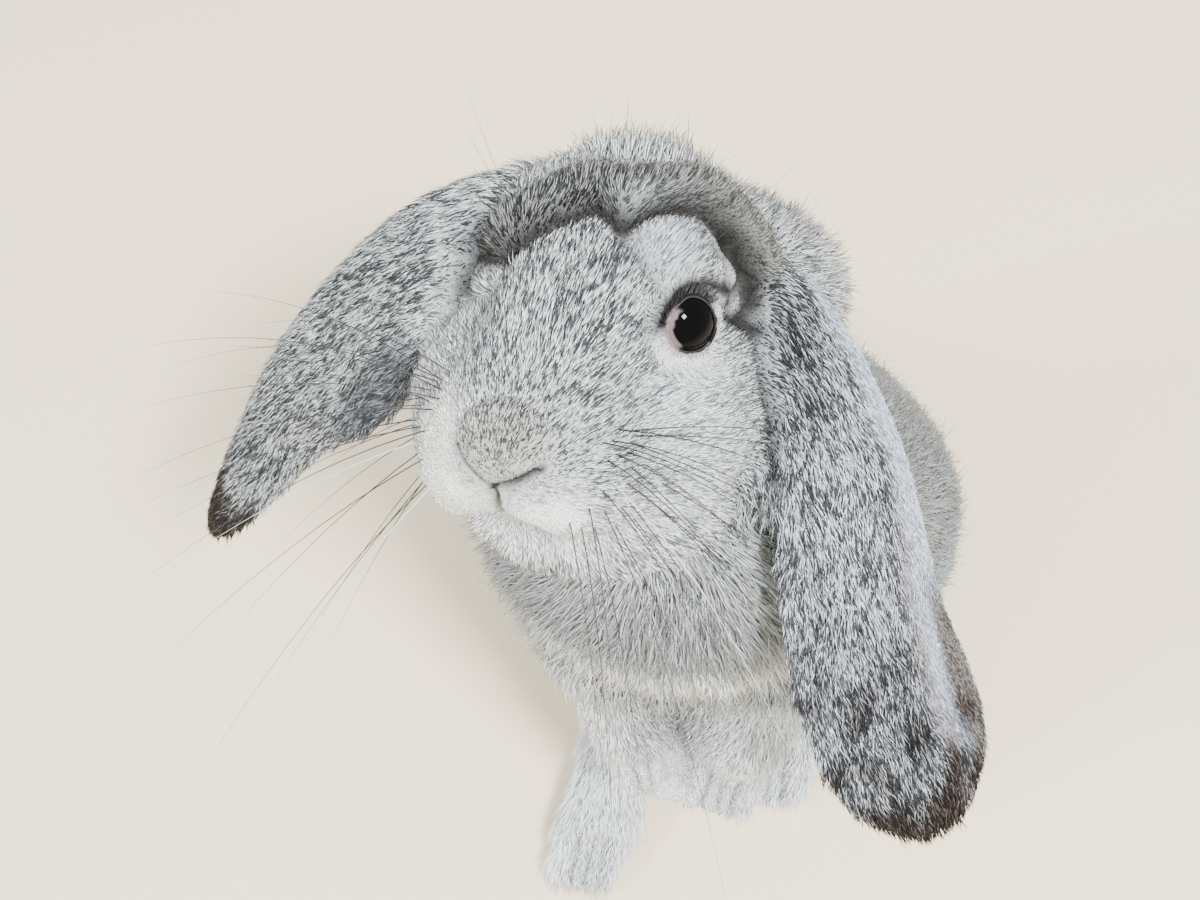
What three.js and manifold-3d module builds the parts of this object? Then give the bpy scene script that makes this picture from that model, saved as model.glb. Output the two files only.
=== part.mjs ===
// A lop-eared rabbit at life size, sitting up on its haunches with its front paws hanging and its head lifted.
// Millimetres. +X is the rabbit's left, its chest faces -Y, and +Z is up. The outline includes the coat.
//
// The body is one field of blended ellipsoids and tapered limbs. Each node is that field's surface inside the
// node's own region, less a thin cut round the regions of its neighbours. The ears are lofted troughs.
import * as THREE from "three";
import { mergeVertices } from "three/addons/utils/BufferGeometryUtils.js";
import Module from "manifold-3d";

const wasm = await Module();
wasm.setup();

// ---------------------------------------------------------------- driving dimensions

const CUT = 0.4; // width of the thin cut between two nodes
const GRID = 0.01; // to which a node's points are rounded
const HEAD_LENGTH = 100; // nose to the back of the skull
const HEAD_CENTRE = [-23, 9, 248]; // middle of the head, above the chest and leaning to the right
const HEAD_YAW = 18; // degrees the nose turns to the rabbit's right
const HEAD_LIFT = 29; // degrees the nose points above level
const HEAD_ROLL = 6.5; // degrees the left eye is higher than the right
const EYE_RADIUS = 8.6;
const EYE_AXIS = [0.88, -0.25, 0.4]; // the way the left eye looks, in the head frame
const EYE_PLACE = [19, 0, 11.5]; // head frame, mirrored for the right eye
const HALF_WIDTH = 66; // of the trunk at the haunches
const RUMP_CENTRE = [8, 50, 58];
const SHOULDER_HEIGHT = 168;
const EAR_LENGTH = 140;
const EAR_WIDTH = 49;
const EAR_THICKNESS = 7;

const vec = (x, y, z) => new THREE.Vector3(x, y, z);
const degrees = THREE.MathUtils.degToRad;
const SIDES = { left: 1, right: -1 };

// The head frame: x to the left, y to the back and z to the crown, about the middle of the head.
const headPlace = new THREE.Matrix4().compose(
  vec(...HEAD_CENTRE),
  new THREE.Quaternion().setFromEuler(
    new THREE.Euler(-degrees(HEAD_LIFT), -degrees(HEAD_ROLL), -degrees(HEAD_YAW), "ZXY"),
  ),
  vec(1, 1, 1),
);
const onHead = (x, y, z) => vec(x, y, z).applyMatrix4(headPlace);

// ---------------------------------------------------------------- fields

// Near enough the distance to an ellipsoid, negative inside. turn holds Euler angles in degrees.
function blob(centre, radii, turn = [0, 0, 0], frame = new THREE.Matrix4()) {
  const place = new THREE.Matrix4().compose(
    vec(...centre),
    new THREE.Quaternion().setFromEuler(new THREE.Euler(...turn.map(degrees))),
    vec(1, 1, 1),
  );
  const toLocal = frame.clone().multiply(place).invert();
  const [rx, ry, rz] = radii;
  const q = new THREE.Vector3();
  return (p) => {
    q.copy(p).applyMatrix4(toLocal);
    const a = Math.hypot(q.x / rx, q.y / ry, q.z / rz);
    const b = Math.hypot(q.x / rx ** 2, q.y / ry ** 2, q.z / rz ** 2);
    return b > 1e-9 ? (a * (a - 1)) / b : -Math.min(rx, ry, rz);
  };
}

// A limb that tapers from one radius to another, with round ends.
function limb(from, to, fromRadius, toRadius, frame = new THREE.Matrix4()) {
  const start = vec(...from).applyMatrix4(frame);
  const axis = vec(...to).applyMatrix4(frame).sub(start);
  const q = new THREE.Vector3();
  return (p) => {
    q.copy(p).sub(start);
    const t = THREE.MathUtils.clamp(q.dot(axis) / axis.lengthSq(), 0, 1);
    return q.addScaledVector(axis, -t).length() - THREE.MathUtils.lerp(fromRadius, toRadius, t);
  };
}

// Joins fields with a fillet about as wide as soft.
const join = (soft, ...fields) => (p) =>
  fields.reduce((d, field) => {
    const e = field(p);
    const h = Math.max(soft - Math.abs(d - e), 0) / soft;
    return Math.min(d, e) - (h * h * soft) / 4;
  }, 1e3);

// Takes a field away from another, with a rounded edge.
const carve = (soft, field, tool) => (p) => {
  const d = field(p);
  const e = -tool(p);
  const h = Math.max(soft - Math.abs(d - e), 0) / soft;
  return Math.max(d, e) + (h * h * soft) / 4;
};

const bothSides = (make) => Object.values(SIDES).map(make);

const headBlob = (centre, radii, turn) => blob(centre, radii, turn, headPlace);
const headLimb = (from, to, a, b) => limb(from, to, a, b, headPlace);
const NOSE_Y = -HEAD_LENGTH / 2;

const skull = join(
  9,
  headBlob([0, 16, 8], [27.5, 32, 28.5]), // braincase
  headLimb([0, 0, 8], [0, -28, 1], 21.5, 18), // brow and bridge of the nose
  headBlob([0, -13, 14], [15, 23, 13]), // forehead
  headBlob([0, NOSE_Y + 18, -3], [23, 17, 16]), // muzzle
  headBlob([0, NOSE_Y + 6.5, 0], [11, 8, 9]), // nose
  ...bothSides((s) => headBlob([s * 14, NOSE_Y + 18, -10], [15, 15, 12])), // whisker pads
  ...bothSides((s) => headBlob([s * 21, -4, -17], [20, 26, 23])), // cheeks
  ...bothSides((s) => headBlob([s * 15, 4, 21], [10, 14, 9])), // brows
  headBlob([0, -18, -20], [16, 20, 12]), // chin and lower jaw
  headBlob([3, -13, -33], [27, 22, 19]), // jowls and throat
  headBlob([0, 26, 20], [29, 14, 18]), // crown, between the ears
);
const eyeDish = (s) => {
  const [x, y, z] = EYE_PLACE.map((c, n) => c + EYE_AXIS[n] * (EYE_RADIUS / 2 + 11));
  return headBlob([s * x, y, z], [11, 11, 10]);
};
const head = carve(5, skull, join(1, ...bothSides(eyeDish)));

const torso = join(
  24,
  blob(RUMP_CENTRE, [HALF_WIDTH, 54, 60]),
  blob([10, 22, 98], [HALF_WIDTH + 7, 52, 64]), // belly
  blob([0, 5, 142], [64, 50, 54]), // ribs
  blob([-2, -6, 166], [56, 36, 30]), // shoulders
  blob([-4, -14, SHOULDER_HEIGHT - 12], [42, 37, 46]), // breast
);
const neck = join(
  16,
  limb([-6, 18, SHOULDER_HEIGHT + 8], [-18, 22, 228], 46, 37),
  blob([-10, 40, 214], [48, 26, 36]), // nape
);
const thigh = (s) => blob([9 + s * 48, 18 + s * 6, 58], [28, 46, 50], [10, 0, 0]);

const FOOT = {
  left: { heel: [36, 24, 13], ball: [33, -38, 13], heading: 8 },
  right: { heel: [-20, -2, 13], ball: [-27, -74, 13], heading: -10 },
};
function hindFoot({ heel, ball, heading }) {
  const turn = degrees(heading);
  const toe = (i) => {
    const across = (i - 1.5) * 7.6;
    const reach = 21 - Math.abs(i - 1.2) * 3.2;
    const x = ball[0] + across * Math.cos(turn) + reach * Math.sin(turn);
    const y = ball[1] + across * Math.sin(turn) - reach * Math.cos(turn);
    return limb([ball[0] + across * 0.7, ball[1], 11], [x, y, 8], 8, 7.2);
  };
  return join(6, limb(heel, ball, 14, 14.5), ...[0, 1, 2, 3].map(toe));
}

const FORELEG = {
  left: { elbow: [28, -30, 140], wrist: [20, -52, 108], paw: [15, -65, 89] },
  right: { elbow: [-22, -32, 140], wrist: [-15, -52, 108], paw: [-10, -61, 89] },
};
function foreleg({ elbow, wrist, paw }) {
  const toe = (i) => {
    const across = (i - 1.5) * 5;
    return limb([paw[0] + across * 0.7, paw[1], paw[2]], [paw[0] + across, paw[1] - 7, paw[2] - 9], 6, 5);
  };
  return join(6, limb(elbow, wrist, 20, 15), limb(wrist, paw, 14, 11), ...[0, 1, 2, 3].map(toe));
}

const tail = blob([14, 101, 38], [16, 17, 24], [14, 0, 0]);
const body = join(
  10,
  join(18, torso, neck, ...bothSides(thigh)),
  ...Object.values(FORELEG).map(foreleg),
  ...Object.values(FOOT).map(hindFoot),
  tail,
);
const rabbit = join(9, body, head);

// ---------------------------------------------------------------- surface of a field

// The field's surface inside a box, as one closed mesh: a vertex in each cell that the surface crosses, and a
// quad round each grid edge that it crosses. The box's own walls close it.
function surfaceOf(field, box, cell) {
  const size = box.getSize(new THREE.Vector3());
  const [nx, ny, nz] = size.toArray().map((s) => Math.ceil(s / cell) + 1);
  const at = (i, j, k) => (k * ny + j) * nx + i;
  const value = new Float64Array(nx * ny * nz);
  const p = new THREE.Vector3();
  const corner = (i, j, k) => p.set(i, j, k).multiplyScalar(cell).add(box.min);
  for (let k = 0; k < nz; k++)
    for (let j = 0; j < ny; j++)
      for (let i = 0; i < nx; i++) {
        const wall = i === 0 || j === 0 || k === 0 || i === nx - 1 || j === ny - 1 || k === nz - 1;
        const d = field(corner(i, j, k));
        value[at(i, j, k)] = wall ? Math.max(d, cell / 2) : d;
      }
  const steps = [[1, 0, 0], [0, 1, 0], [0, 0, 1]];
  const positions = [];
  const vertexOf = new Map();
  for (let k = 0; k < nz - 1; k++)
    for (let j = 0; j < ny - 1; j++)
      for (let i = 0; i < nx - 1; i++) {
        const sum = new THREE.Vector3();
        let crossings = 0;
        for (const [axis, step] of steps.entries())
          for (let m = 0; m < 4; m++) {
            const start = [i, j, k];
            start[(axis + 1) % 3] += m & 1;
            start[(axis + 2) % 3] += m >> 1;
            const a = value[at(...start)];
            const b = value[at(...start.map((c, n) => c + step[n]))];
            if (a < 0 === b < 0) continue;
            const t = a / (a - b);
            sum.add(corner(...start.map((c, n) => c + step[n] * t)));
            crossings++;
          }
        if (!crossings) continue;
        const inner = i > 0 && j > 0 && k > 0 && i < nx - 2 && j < ny - 2 && k < nz - 2;
        const vertex = sum.divideScalar(crossings);
        if (inner) settle(field, vertex, cell);
        vertexOf.set(at(i, j, k), positions.length / 3);
        positions.push(...vertex.toArray());
      }
  const index = [];
  for (let k = 0; k < nz - 1; k++)
    for (let j = 0; j < ny - 1; j++)
      for (let i = 0; i < nx - 1; i++)
        for (const [axis, step] of steps.entries()) {
          const a = value[at(i, j, k)];
          const b = value[at(i + step[0], j + step[1], k + step[2])];
          if (a < 0 === b < 0) continue;
          const [u, w] = [steps[(axis + 1) % 3], steps[(axis + 2) % 3]];
          const cellAt = (m, n) =>
            vertexOf.get(at(i - m * u[0] - n * w[0], j - m * u[1] - n * w[1], k - m * u[2] - n * w[2]));
          const quad = [cellAt(0, 0), cellAt(1, 0), cellAt(1, 1), cellAt(0, 1)];
          if (a > 0) quad.reverse();
          index.push(...splitQuad(quad, positions));
        }
  return new THREE.BufferGeometry()
    .setAttribute("position", new THREE.Float32BufferAttribute(positions, 3))
    .setIndex(index);
}

// Moves a point onto the field's zero along its slope, by no more than half a cell.
function settle(field, point, cell) {
  const reach = 0.05 * cell;
  const start = point.clone();
  const slope = new THREE.Vector3();
  const probe = new THREE.Vector3();
  for (let n = 0; n < 3; n++) {
    const here = field(point);
    for (const axis of ["x", "y", "z"]) {
      probe.copy(point)[axis] += reach;
      slope[axis] = (field(probe) - here) / reach;
    }
    point.addScaledVector(slope, -here / Math.max(slope.lengthSq(), 0.05));
  }
  const moved = point.clone().sub(start).clampLength(0, cell / 2);
  point.copy(start).add(moved);
}

// Splits a quad along its shorter diagonal.
function splitQuad([a, b, c, d], positions) {
  const gap = (m, n) =>
    Math.hypot(...[0, 1, 2].map((x) => positions[3 * m + x] - positions[3 * n + x]));
  return gap(a, c) < gap(b, d) ? [a, b, c, a, c, d] : [a, b, d, b, c, d];
}

// ---------------------------------------------------------------- ears

// Each ear runs down a curve from inside the crown. out is the way its furry back faces, from root to tip, and
// cup is how far each edge curls in from the middle, in degrees. share is the width measured round the curl.
const EARS = {
  left: {
    spine: [onHead(16, 27, 22), vec(18, 22, 244), vec(37, -6, 222), vec(49, -46, 197), vec(68, -84, 171)],
    out: [vec(0.3, 0.1, 1), vec(0.5, -0.2, 0.8), vec(0.4, -0.3, 0.9), vec(0.3, -0.3, 0.9)],
    cup: [95, 95, 92, 80, 70, 62, 50, 36, 30],
  },
  right: {
    spine: [onHead(-16, 27, 22), vec(-61, 34, 250), vec(-91, 20, 224), vec(-117, 2, 190), vec(-134, -14, 157)],
    out: [vec(-0.2, 0.1, 1), vec(-0.5, 0, 0.9), vec(-0.5, 0.1, 0.8), vec(-0.84, 0.5, 0.3)],
    cup: [95, 92, 80, 68, 62, 62, 62, 58, 50],
  },
};
const EAR_SHARE = [0.74, 0.84, 0.92, 0.94, 0.96, 1, 1.04, 1.06, 1];
const EAR_BLUNT = 12; // higher for a blunter tip
const STATIONS = 17; // rings along an ear
const ACROSS = 7; // points across each face of a ring

const between = (list, t) => {
  const x = THREE.MathUtils.clamp(t, 0, 1) * (list.length - 1);
  const i = Math.min(Math.floor(x), list.length - 2);
  return [list[i], list[i + 1], x - i];
};
const valueAlong = (list, t) => THREE.MathUtils.lerp(...between(list, t));
const wayAlong = (list, t) => {
  const [a, b, x] = between(list, t);
  return a.clone().lerp(b, x).normalize();
};

// grow thickens the ear all round, for the cut that it makes in the head.
function earGeometry({ spine, out, cup }, grow) {
  const curve = new THREE.CatmullRomCurve3(spine);
  const rings = [];
  for (let n = 0; n <= STATIONS; n++) {
    const t = 1 - (1 - n / STATIONS) ** 1.3;
    const along = curve.getTangentAt(t);
    const end = n === 0 ? -grow : n === STATIONS ? grow : 0;
    const centre = curve.getPointAt(t).addScaledVector(along, end);
    const back = wayAlong(out, t).addScaledVector(along, -wayAlong(out, t).dot(along)).normalize();
    const side = new THREE.Vector3().crossVectors(along, back);
    const curl = degrees(valueAlong(cup, t));
    const rounding = Math.sqrt(Math.max(1 - t ** EAR_BLUNT, 0.1));
    const bend = (valueAlong(EAR_SHARE, t) * EAR_WIDTH * rounding) / 2 / curl;
    const at = (a, depth) =>
      centre
        .clone()
        .addScaledVector(side, (bend + depth) * Math.sin(a))
        .addScaledVector(back, (bend + depth) * Math.cos(a) - bend);
    const outer = [];
    const inner = [];
    for (let m = 0; m < ACROSS; m++) {
      const a = (2 * m) / (ACROSS - 1) - 1;
      const half = (EAR_THICKNESS / 2) * rounding * (0.42 + 0.58 * Math.sqrt(1 - 0.97 * a * a)) + grow;
      const angle = a * (curl + grow / bend);
      outer.push(at(angle, half));
      inner.push(at(angle, -half));
    }
    rings.push([...outer, ...inner.reverse()]);
  }
  return loft(rings);
}

// Joins rings of points, each seen clockwise from the first ring, into one closed mesh with flat ends.
function loft(rings) {
  const count = rings[0].length;
  const positions = rings.flat().flatMap((p) => p.toArray());
  const index = [];
  for (let n = 0; n < rings.length - 1; n++)
    for (let m = 0; m < count; m++) {
      const [a, b] = [n * count + m, n * count + ((m + 1) % count)];
      index.push(...splitQuad([a, b, b + count, a + count], positions));
    }
  const half = count / 2;
  const last = (rings.length - 1) * count;
  for (let m = 0; m < half - 1; m++) {
    const [a, b, c, d] = [m, m + 1, count - 2 - m, count - 1 - m];
    index.push(a, d, c, a, c, b);
    index.push(last + a, last + b, last + c, last + a, last + c, last + d);
  }
  return new THREE.BufferGeometry()
    .setAttribute("position", new THREE.Float32BufferAttribute(positions, 3))
    .setIndex(index);
}

// ---------------------------------------------------------------- solids

function solidOf(geometry) {
  const bare = geometry.index ? geometry.clone() : mergeVertices(geometry.clone());
  bare.deleteAttribute("normal");
  bare.deleteAttribute("uv");
  const merged = mergeVertices(bare, 1e-4);
  return new wasm.Manifold(
    new wasm.Mesh({
      numProp: 3,
      vertProperties: new Float32Array(merged.attributes.position.array),
      triVerts: new Uint32Array(merged.index.array),
    }),
  );
}

// The largest piece of a solid, as geometry with its points on a fine grid, so that no sliver is left.
function geometryOf(solid) {
  const largest = solid.decompose().reduce((a, b) => (b.volume() > a.volume() ? b : a));
  const mesh = largest.getMesh();
  const positions = [];
  for (let i = 0; i < mesh.numVert; i++)
    for (const c of mesh.vertProperties.subarray(i * mesh.numProp, i * mesh.numProp + 3))
      positions.push(Math.round(c / GRID) * GRID);
  const geometry = mergeVertices(
    new THREE.BufferGeometry()
      .setAttribute("position", new THREE.Float32BufferAttribute(positions, 3))
      .setIndex(new THREE.BufferAttribute(new Uint32Array(mesh.triVerts), 1)),
    GRID / 10,
  );
  const faces = new Map();
  for (let i = 0; i < geometry.index.count; i += 3) {
    const face = [0, 1, 2].map((n) => geometry.index.getX(i + n));
    const key = face.toSorted((m, n) => m - n).join();
    if (new Set(face).size < 3) continue;
    if (!faces.delete(key)) faces.set(key, face);
  }
  return geometry.setIndex([...faces.values()].flat());
}

// A region is a function of how far it is grown, and gives a solid.
const ROUND = 10; // sides of a round region
function roundRegion(centre, radii, turn = [0, 0, 0], frame = new THREE.Matrix4()) {
  return (grow) => {
    const place = new THREE.Matrix4().compose(
      vec(...centre),
      new THREE.Quaternion().setFromEuler(new THREE.Euler(...turn.map(degrees))),
      vec(...radii.map((r) => r + grow)),
    );
    return solidOf(
      new THREE.SphereGeometry(1, ROUND, ROUND / 2).applyMatrix4(frame.clone().multiply(place)),
    );
  };
}
function boxRegion(low, high) {
  return (grow) => {
    const box = new THREE.Box3(vec(...low), vec(...high)).expandByScalar(grow);
    const size = box.getSize(new THREE.Vector3());
    const centre = box.getCenter(new THREE.Vector3());
    return solidOf(new THREE.BoxGeometry(...size).translate(...centre));
  };
}

const eyeRegion = (s) => (grow) =>
  solidOf(
    new THREE.SphereGeometry(EYE_RADIUS + grow, 13, 9).applyMatrix4(
      headPlace.clone().multiply(
        new THREE.Matrix4().makeTranslation(s * EYE_PLACE[0], EYE_PLACE[1], EYE_PLACE[2]),
      ),
    ),
  );
const earRegion = (side) => (grow) => solidOf(earGeometry(EARS[side], grow));
const regions = {
  ear_left: earRegion("left"),
  ear_right: earRegion("right"),
  eye_left: eyeRegion(1),
  eye_right: eyeRegion(-1),
  head: roundRegion([0, -6, -4], [60, 56, 50], [0, 0, 0], headPlace),
  forepaw_left: roundRegion(FORELEG.left.paw, [20, 20, 24]),
  forepaw_right: roundRegion(FORELEG.right.paw, [20, 20, 24]),
  foreleg_left: roundRegion([25, -46, 120], [21, 24, 36], [-25, 0, 0]),
  foreleg_right: roundRegion([-27, -46, 120], [21, 24, 36], [-25, 0, 0]),
  hind_foot_left: roundRegion([30, -18, 9], [24, 62, 19]),
  hind_foot_right: roundRegion([-30, -48, 9], [26, 62, 19], [0, 0, -8]),
  thigh_left: roundRegion([66, 10, 58], [32, 62, 62], [12, 0, 0]),
  thigh_right: roundRegion([-58, 0, 58], [32, 62, 62], [12, 0, 0]),
  tail: roundRegion([15, 112, 38], [24, 22, 32], [14, 0, 0]),
  neck: boxRegion([-90, -60, 192], [90, 110, 320]),
  trunk: boxRegion([-110, -90, 0], [120, 140, 320]),
};

// Each node's own cell size, and the box in which its surface is made.
const detail = {
  head: { cell: 8.2, low: [-84, -60, 178], high: [40, 70, 312] },
  neck: { cell: 11.2, low: [-90, -80, 172], high: [72, 100, 284] },
  trunk: { cell: 14.5, low: [-92, -82, -14], high: [110, 136, 222] },
  tail: { cell: 8, low: [-12, 74, -7], high: [42, 134, 76] },
  thigh_left: { cell: 13, low: [22, -62, -8], high: [102, 90, 126] },
  thigh_right: { cell: 13, low: [-90, -62, -8], high: [-10, 86, 126] },
  hind_foot_left: { cell: 8.4, low: [2, -88, -5], high: [62, 56, 34] },
  hind_foot_right: { cell: 8.4, low: [-66, -120, -5], high: [2, 26, 34] },
  foreleg_left: { cell: 9, low: [0, -84, 80], high: [56, -12, 166] },
  foreleg_right: { cell: 9, low: [-58, -84, 80], high: [4, -12, 166] },
  forepaw_left: { cell: 6.5, low: [-10, -96, 60], high: [44, -42, 118] },
  forepaw_right: { cell: 6.5, low: [-42, -96, 58], high: [16, -42, 118] },
};

const floorSpace = boxRegion([-200, -200, 0], [200, 200, 400])(0);
function fleshNode(name) {
  const { cell, low, high } = detail[name];
  const whole = solidOf(surfaceOf(rabbit, new THREE.Box3(vec(...low), vec(...high)), cell));
  const names = Object.keys(regions);
  let solid = whole.intersect(regions[name](0)).intersect(floorSpace);
  for (const before of names.slice(0, names.indexOf(name)))
    solid = solid.subtract(regions[before](CUT));
  return geometryOf(solid);
}

// ---------------------------------------------------------------- the figure

const FUR = new THREE.MeshStandardMaterial({ color: 0xa9acb0, roughness: 0.95, metalness: 0 });
const PALE_FUR = new THREE.MeshStandardMaterial({ color: 0xc9cbcd, roughness: 0.95, metalness: 0 });
const EYE = new THREE.MeshStandardMaterial({ color: 0x0c0a0a, roughness: 0.08, metalness: 0 });

const figure = new THREE.Group();
function add(name, geometry, material) {
  const mesh = new THREE.Mesh(geometry, material);
  mesh.name = name;
  figure.add(mesh);
}
for (const name of Object.keys(detail)) add(name, fleshNode(name), /foot|paw/.test(name) ? PALE_FUR : FUR);
for (const side of Object.keys(SIDES)) {
  add("ear_" + side, geometryOf(regions["ear_" + side](0)), FUR);
  add("eye_" + side, geometryOf(regions["eye_" + side](0)), EYE);
}

// The origin is under the middle of the whole figure, on the floor.
const extent = new THREE.Box3().setFromObject(figure);
const middle = extent.getCenter(new THREE.Vector3());
figure.position.set(-middle.x, -middle.y, 0);

export default figure;
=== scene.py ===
"""A life-size silver-grey lop rabbit, sitting with its head turned up.

One skin lies under the coat's outline. Short tufts follow the lie of the fur over it, and the eyes,
lids, whiskers and claws are pieces of their own. Lengths are in metres unless a name says mm.
"""
import math
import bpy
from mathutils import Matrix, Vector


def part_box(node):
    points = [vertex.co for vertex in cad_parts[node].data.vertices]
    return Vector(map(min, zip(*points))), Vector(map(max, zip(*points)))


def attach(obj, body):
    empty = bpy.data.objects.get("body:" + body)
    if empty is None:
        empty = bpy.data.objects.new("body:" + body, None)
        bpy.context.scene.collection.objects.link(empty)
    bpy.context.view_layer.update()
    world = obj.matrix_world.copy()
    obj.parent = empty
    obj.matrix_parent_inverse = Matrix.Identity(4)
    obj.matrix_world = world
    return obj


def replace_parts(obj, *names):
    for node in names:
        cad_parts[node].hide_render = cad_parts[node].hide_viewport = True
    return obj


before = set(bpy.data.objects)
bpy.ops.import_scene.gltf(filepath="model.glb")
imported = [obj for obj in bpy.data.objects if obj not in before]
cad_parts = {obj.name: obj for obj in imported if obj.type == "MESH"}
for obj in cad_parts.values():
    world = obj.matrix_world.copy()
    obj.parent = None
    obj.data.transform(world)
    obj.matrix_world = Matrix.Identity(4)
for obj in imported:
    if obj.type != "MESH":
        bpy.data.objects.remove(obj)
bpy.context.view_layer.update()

from types import SimpleNamespace

import bmesh
import bpy
import numpy as np
from mathutils import Matrix, Vector
from mathutils.bvhtree import BVHTree

MM = 0.001
BODY = "root"

# ---------------------------------------------------------------- places

SIDES = {"left": 1, "right": -1}
HEAD_YAW, HEAD_LIFT, HEAD_ROLL = 18, 29, 6.5   # degrees: turned right, nose up, tipped
HEAD_CENTRE = (-23, 9, 248)                    # mm, from the spot below the chest
EYE_PLACE = (19, 0, 11.5)                      # mm, on the head: left, back, up
EYE_RADIUS = 8.6 * MM
NOSE_TIP = (0, -52, -3)                        # mm, on the head


def turn(degrees, axis):
    return np.array(Matrix.Rotation(math.radians(degrees), 3, axis))


def centre_of(node):
    low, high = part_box(node)
    return np.array((low + high) / 2)


HEAD_TURN = turn(-HEAD_YAW, "Z") @ turn(-HEAD_LIFT, "X") @ turn(-HEAD_ROLL, "Y")
EYE_MIDDLE = (centre_of("eye_left") + centre_of("eye_right")) / 2
HEAD_AT = EYE_MIDDLE - HEAD_TURN @ np.array((0, 0, EYE_PLACE[2])) * MM
ORIGIN = HEAD_AT - np.array(HEAD_CENTRE) * MM


def placed(*mm):
    """A point given in mm from the spot below the chest."""
    return ORIGIN + np.array(mm, float) * MM


def on_head(*mm):
    """A point given in mm on the head: left, back, up."""
    return HEAD_AT + HEAD_TURN @ (np.array(mm, float) * MM)


def head_mm(points):
    """Points in the head's own directions, in mm."""
    return (points - HEAD_AT) @ HEAD_TURN / MM


EAR_SPINE = {
    "left": [on_head(16, 27, 22), placed(18, 22, 244), placed(37, -6, 222), placed(49, -46, 197),
             placed(68, -84, 171)],
    "right": [on_head(-16, 27, 22), placed(-61, 34, 250), placed(-91, 20, 224),
              placed(-117, 2, 190), placed(-134, -14, 157)],
}
EAR_WIDTH = 49 * MM
# The right ear's front edge turns inside out: its line in mm, how far, over what reach, and where.
TURNED_EDGE = [(-60, 15, 243), (-65, 11.5, 236.2), (-71.4, 8.6, 231.7), (-78.4, 3.1, 223),
               (-85.7, -3, 213.6), (-93.1, -7.5, 206.2), (-100, -10, 201)]
TURNED_BY, TURNED_REACH, TURNED_WAY = 10.5 * MM, 6.5 * MM, (0.35, -0.87, -0.35)
EAR_OUTSIDE = {
    "left": [(0.3, 0.1, 1), (0.5, -0.2, 0.8), (0.4, -0.3, 0.9), (0.3, -0.3, 0.9), (0.3, -0.3, 0.9)],
    "right": [(-0.2, 0.1, 1), (-0.5, 0, 0.9), (-0.5, 0.1, 0.8), (-0.84, 0.5, 0.3), (-0.84, 0.5, 0.3)],
}

# ---------------------------------------------------------------- coat

# Each part's coat: how far the skin lies under the tips, the tufts' length and width, their
# rise off the skin in degrees, tufts to a square centimetre, and the way they lie.
COAT = {
    "head": (3.0, 4.2, 0.28, 16, 355, None),
    "neck": (6.5, 11, 0.38, 30, 168, (0, 0.45, -1)),
    "trunk": (7.0, 12, 0.44, 24, 92, (0, 0.4, -1)),
    "tail": (5.5, 11, 0.42, 34, 150, (0, 1, 0.4)),
    "thigh_left": (6.5, 12, 0.44, 23, 94, (0.1, 0.6, -0.8)),
    "thigh_right": (6.5, 12, 0.44, 23, 94, (-0.1, 0.6, -0.8)),
    "hind_foot_left": (4.0, 8, 0.4, 24, 140, (-0.05, -1, -0.12)),
    "hind_foot_right": (4.0, 9.5, 0.4, 32, 140, (-0.1, -1, -0.12)),
    "foreleg_left": (4.2, 8, 0.4, 25, 170, (-0.2, -0.45, -0.8)),
    "foreleg_right": (4.2, 8, 0.4, 25, 170, (0.15, -0.45, -0.8)),
    "forepaw_left": (3.4, 6.5, 0.38, 26, 190, (-0.2, -0.6, -0.7)),
    "forepaw_right": (3.4, 6.5, 0.38, 26, 190, (0.15, -0.5, -0.8)),
    "ear_left": (1.4, 4.3, 0.3, 14, 285, None),
    "ear_right": (1.4, 4.3, 0.3, 14, 285, None),
}
PARTS = list(COAT)
BIG_PARTS = ("neck", "trunk", "tail", "thigh_left", "thigh_right")
PATCH = 0.003            # of the bake map, across, for one tuft
TUFTS_PER_PIECE = 33000  # six faces each, under 200,000 triangles

rng = np.random.default_rng(11)


def soft_step(low, high, value):
    share = np.clip((value - low) / (high - low), 0, 1)
    return share * share * (3 - 2 * share)


def unit(vectors):
    return vectors / np.maximum(np.linalg.norm(vectors, axis=-1, keepdims=True), 1e-12)


def wavering(points, wavelength, seed, waves=10):
    """A smooth value from about -1 to 1 that wanders over the body."""
    dice = np.random.default_rng(seed)
    ways = unit(dice.normal(size=(waves, 3))) * 2 * math.pi / wavelength
    ways *= dice.uniform(0.6, 1.5, (waves, 1))
    total = np.sin(points @ ways.T + dice.uniform(0, 2 * math.pi, waves)).sum(1)
    return total / math.sqrt(waves / 2) / 1.6


def bump_at(points_mm, centre, radii, softness=1.0):
    """A soft hump, 1 at its centre and near 0 outside its radii."""
    away = (points_mm - np.array(centre)) / np.array(radii)
    return np.exp(-(away * away).sum(1) / softness)


def along_line(points, line):
    """Each point's distance from a line of points, the share of the line that is nearest, and
    that nearest place."""
    line = np.array(line, float)
    best = np.full(len(points), 1e9)
    share = np.zeros(len(points))
    spot = np.zeros_like(points)
    for k in range(len(line) - 1):
        step = line[k + 1] - line[k]
        t = np.clip((points - line[k]) @ step / (step @ step), 0, 1)
        here = line[k] + t[:, None] * step
        gap = np.linalg.norm(points - here, axis=1)
        nearer = gap < best
        best[nearer] = gap[nearer]
        share[nearer] = (k + t[nearer]) / (len(line) - 1)
        spot[nearer] = here[nearer]
    return best, share, spot


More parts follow.
